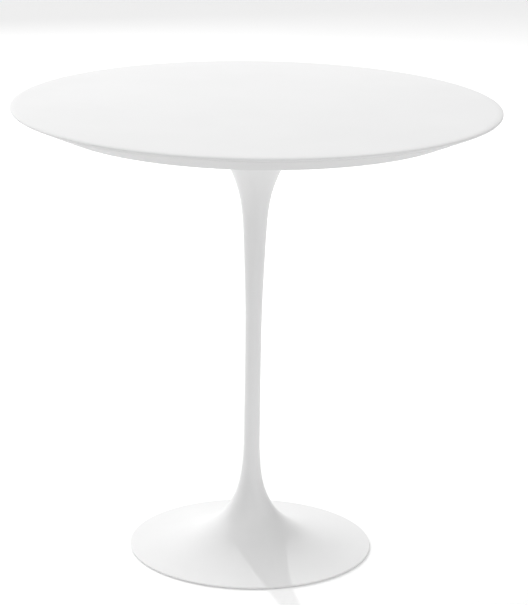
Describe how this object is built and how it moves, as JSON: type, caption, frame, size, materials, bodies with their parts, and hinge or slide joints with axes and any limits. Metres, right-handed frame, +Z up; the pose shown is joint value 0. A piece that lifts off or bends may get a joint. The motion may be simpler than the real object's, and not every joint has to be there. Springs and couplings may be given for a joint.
{
  "type": "round pedestal table",
  "caption": "Low side table with a thin round top, bevelled underneath, on a slender cast stem that flares into a trumpet foot.",
  "frame": {"origin": "on the floor, under the centre of the table, at the lowest point of the floor ring", "axes": "+Z up along the stem's axis; the table is round, so X and Y only fix where the screws lie (one of each set on +X)"},
  "size_m": [0.508, 0.508, 0.485],
  "materials": {
    "white_laminate": "satin white compact laminate",
    "white_lacquered_board": "fibreboard in sprayed white lacquer",
    "backer_laminate": "matt white balancing laminate",
    "brass_insert": "turned brass",
    "zinc_plated_steel": "zinc plated",
    "steel_washer": "zinc plated",
    "steel_screw": "zinc plated",
    "black_screw": "black oxide",
    "vulcanised_fibre": "red-brown fibre sheet",
    "white_fused_coat": "white fused-nylon coat on cast iron",
    "black_rubber": "moulded"
  },
  "bodies": {
    "root": {"face_sheet": "white_laminate", "core_panel": "white_lacquered_board", "backer_sheet": "backer_laminate", "threaded_inserts": "brass_insert", "mounting_plate": "zinc_plated_steel", "plate_washers": "steel_washer", "plate_screws": "steel_screw", "head_screws": "black_screw", "head_gasket": "vulcanised_fibre", "pedestal": "white_fused_coat", "floor_ring": "black_rubber"}
  },
  "joints": []
}
